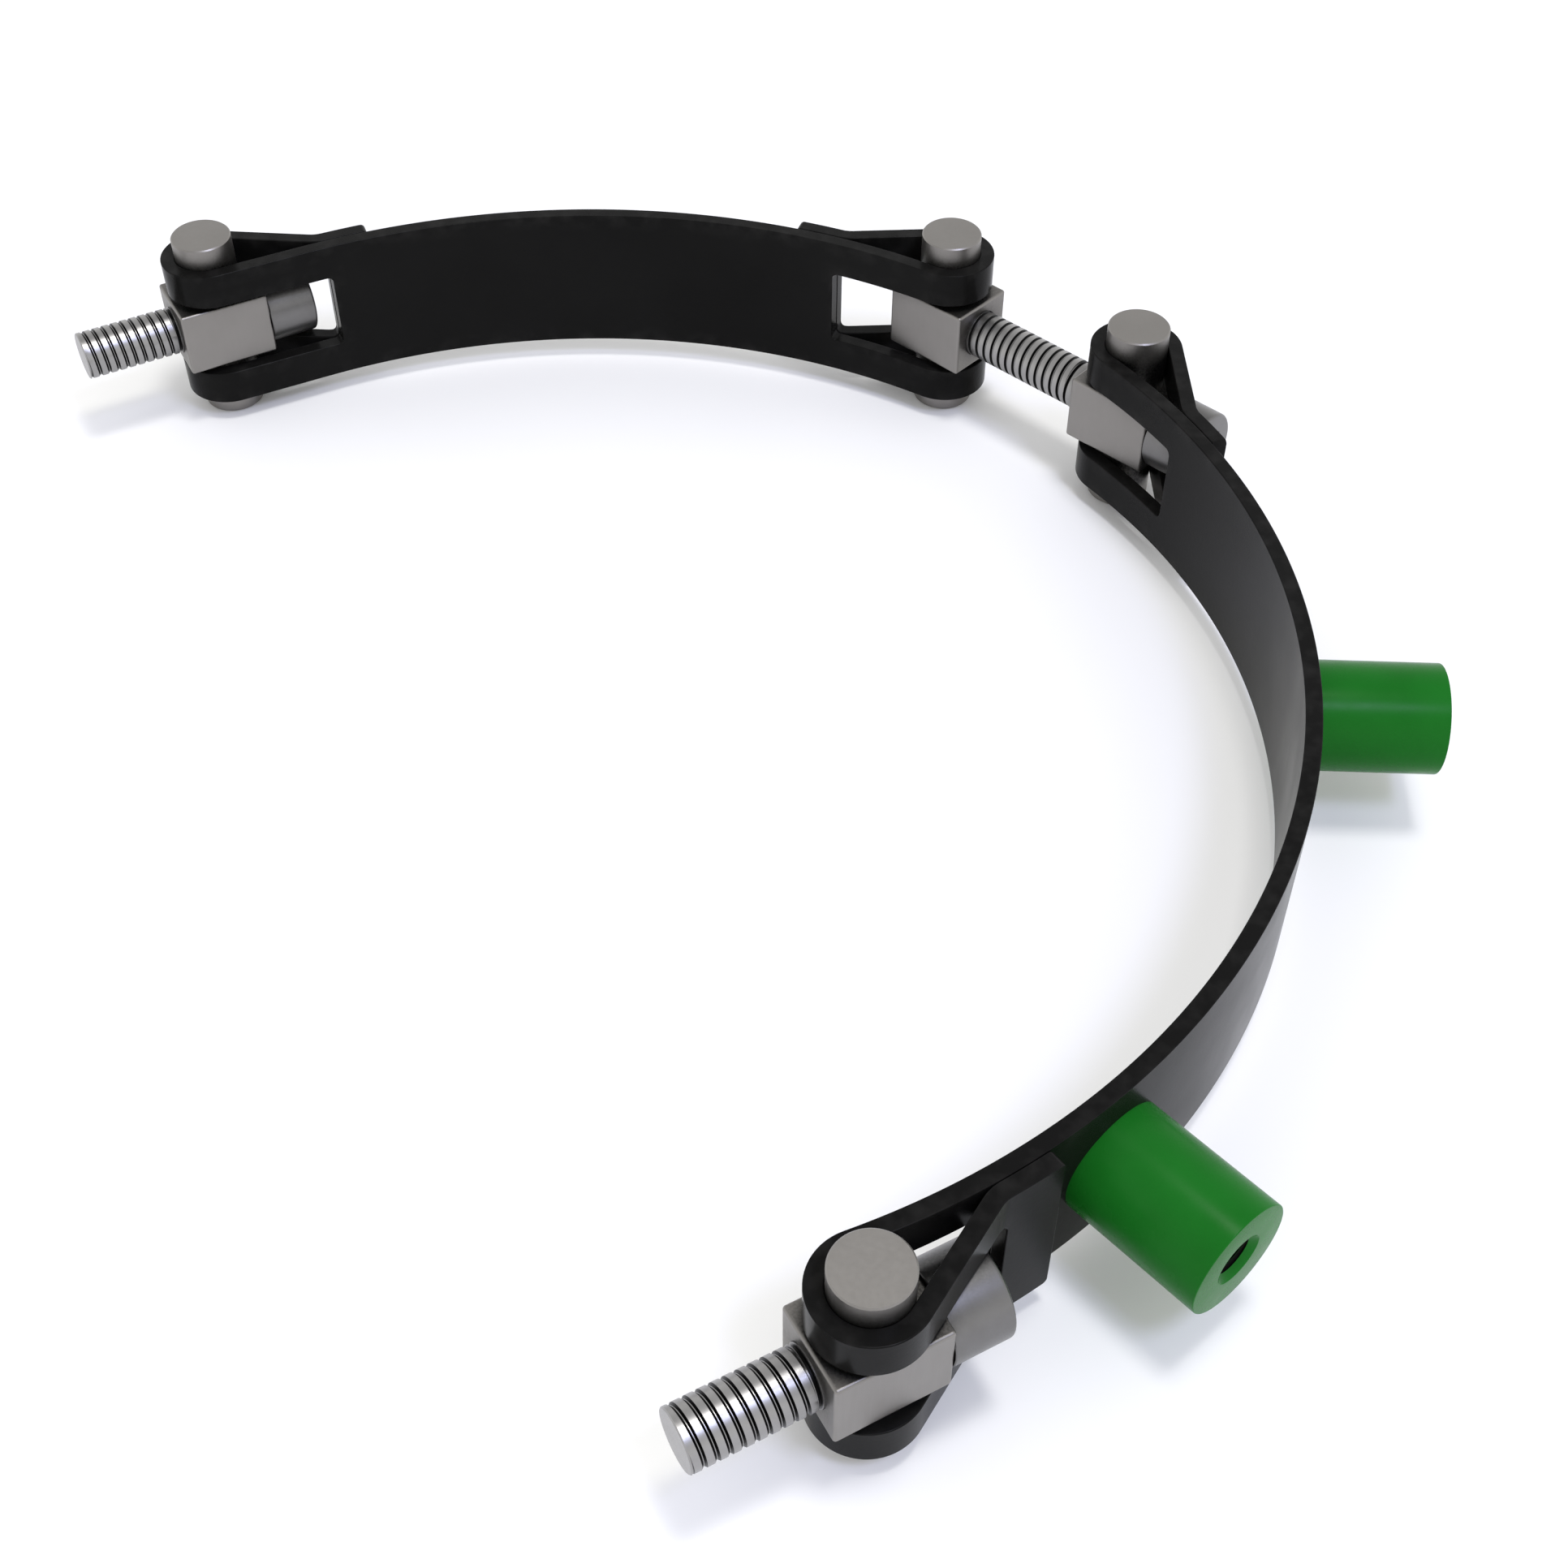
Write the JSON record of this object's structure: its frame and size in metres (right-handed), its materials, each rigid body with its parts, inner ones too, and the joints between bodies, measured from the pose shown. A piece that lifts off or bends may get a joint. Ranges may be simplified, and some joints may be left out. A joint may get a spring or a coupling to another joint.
{
  "type": "pipe repair clamp",
  "caption": "Open strap clamp for a large pipe: two curved bars folded round trunnion pins, drawn together by a link bolt, with tapped bosses and end bolts for further straps.",
  "frame": {"origin": "on the pipe's axis, half-way across the straps' width", "axes": "+Z along the pipe; +X through the upper boss"},
  "size_m": [0.4352, 0.45, 0.0654],
  "materials": {
    "strap_black": "satin black",
    "trunnion_grey": "matte machined grey",
    "bolt_steel": "rolled steel",
    "boss_green": "satin green"
  },
  "bodies": {
    "long_strap": {"long_strap": "strap_black", "upper_boss": "boss_green", "lower_boss": "boss_green"},
    "link_trunnion": {"link_trunnion_block": "trunnion_grey", "link_trunnion_pin": "trunnion_grey"},
    "link_bolt": {"link_bolt": "bolt_steel"},
    "threaded_trunnion": {"threaded_trunnion_block": "trunnion_grey", "threaded_trunnion_pin": "trunnion_grey"},
    "short_strap": {"short_strap": "strap_black"},
    "left_trunnion": {"left_trunnion_block": "trunnion_grey", "left_trunnion_pin": "trunnion_grey"},
    "left_bolt": {"left_bolt": "bolt_steel"},
    "lower_trunnion": {"lower_trunnion_block": "trunnion_grey", "lower_trunnion_pin": "trunnion_grey"},
    "lower_bolt": {"lower_bolt": "bolt_steel"}
  },
  "joints": [
    {"name": "link_trunnion_hinge", "type": "hinge", "parent": "long_strap", "child": "link_trunnion", "pos_m": [0.1747, 0.14147, 0], "axis": [0, 0, 1], "range_deg": [-120, 30]},
    {"name": "link_bolt_turn", "type": "hinge", "parent": "link_trunnion", "child": "link_bolt", "pos_m": [0.1747, 0.14147, 0], "axis": [-0.7553, 0.6554, 0], "range_deg": [-1442, 2882]},
    {"name": "threaded_trunnion_slide", "type": "slide", "parent": "link_trunnion", "child": "threaded_trunnion", "axis": [0.7553, -0.6554, 0], "range_m": [-0.0127, 0.0254]},
    {"name": "short_strap_hinge", "type": "hinge", "parent": "threaded_trunnion", "child": "short_strap", "pos_m": [0.11544, 0.19289, 0], "axis": [0, 0, 1], "range_deg": [-120, 45]},
    {"name": "left_trunnion_hinge", "type": "hinge", "parent": "short_strap", "child": "left_trunnion", "pos_m": [-0.1372, 0.18091, 0], "axis": [0, 0, 1], "range_deg": [-150, 135]},
    {"name": "left_bolt_spin", "type": "hinge", "parent": "left_trunnion", "child": "left_bolt", "pos_m": [-0.1372, 0.18091, 0], "axis": [-0.8574, -0.5147, 0], "continuous": true},
    {"name": "lower_trunnion_hinge", "type": "hinge", "parent": "long_strap", "child": "lower_trunnion", "pos_m": [0.09429, -0.20407, 0], "axis": [0, 0, 1], "range_deg": [-135, 150]},
    {"name": "lower_bolt_spin", "type": "hinge", "parent": "lower_trunnion", "child": "lower_bolt", "pos_m": [0.09429, -0.20407, 0], "axis": [-0.8572, -0.515, 0], "continuous": true}
  ],
  "couplings": [
    {"joint": "link_bolt_turn", "follows": "threaded_trunnion_slide", "rad_per_m": 1979}
  ]
}
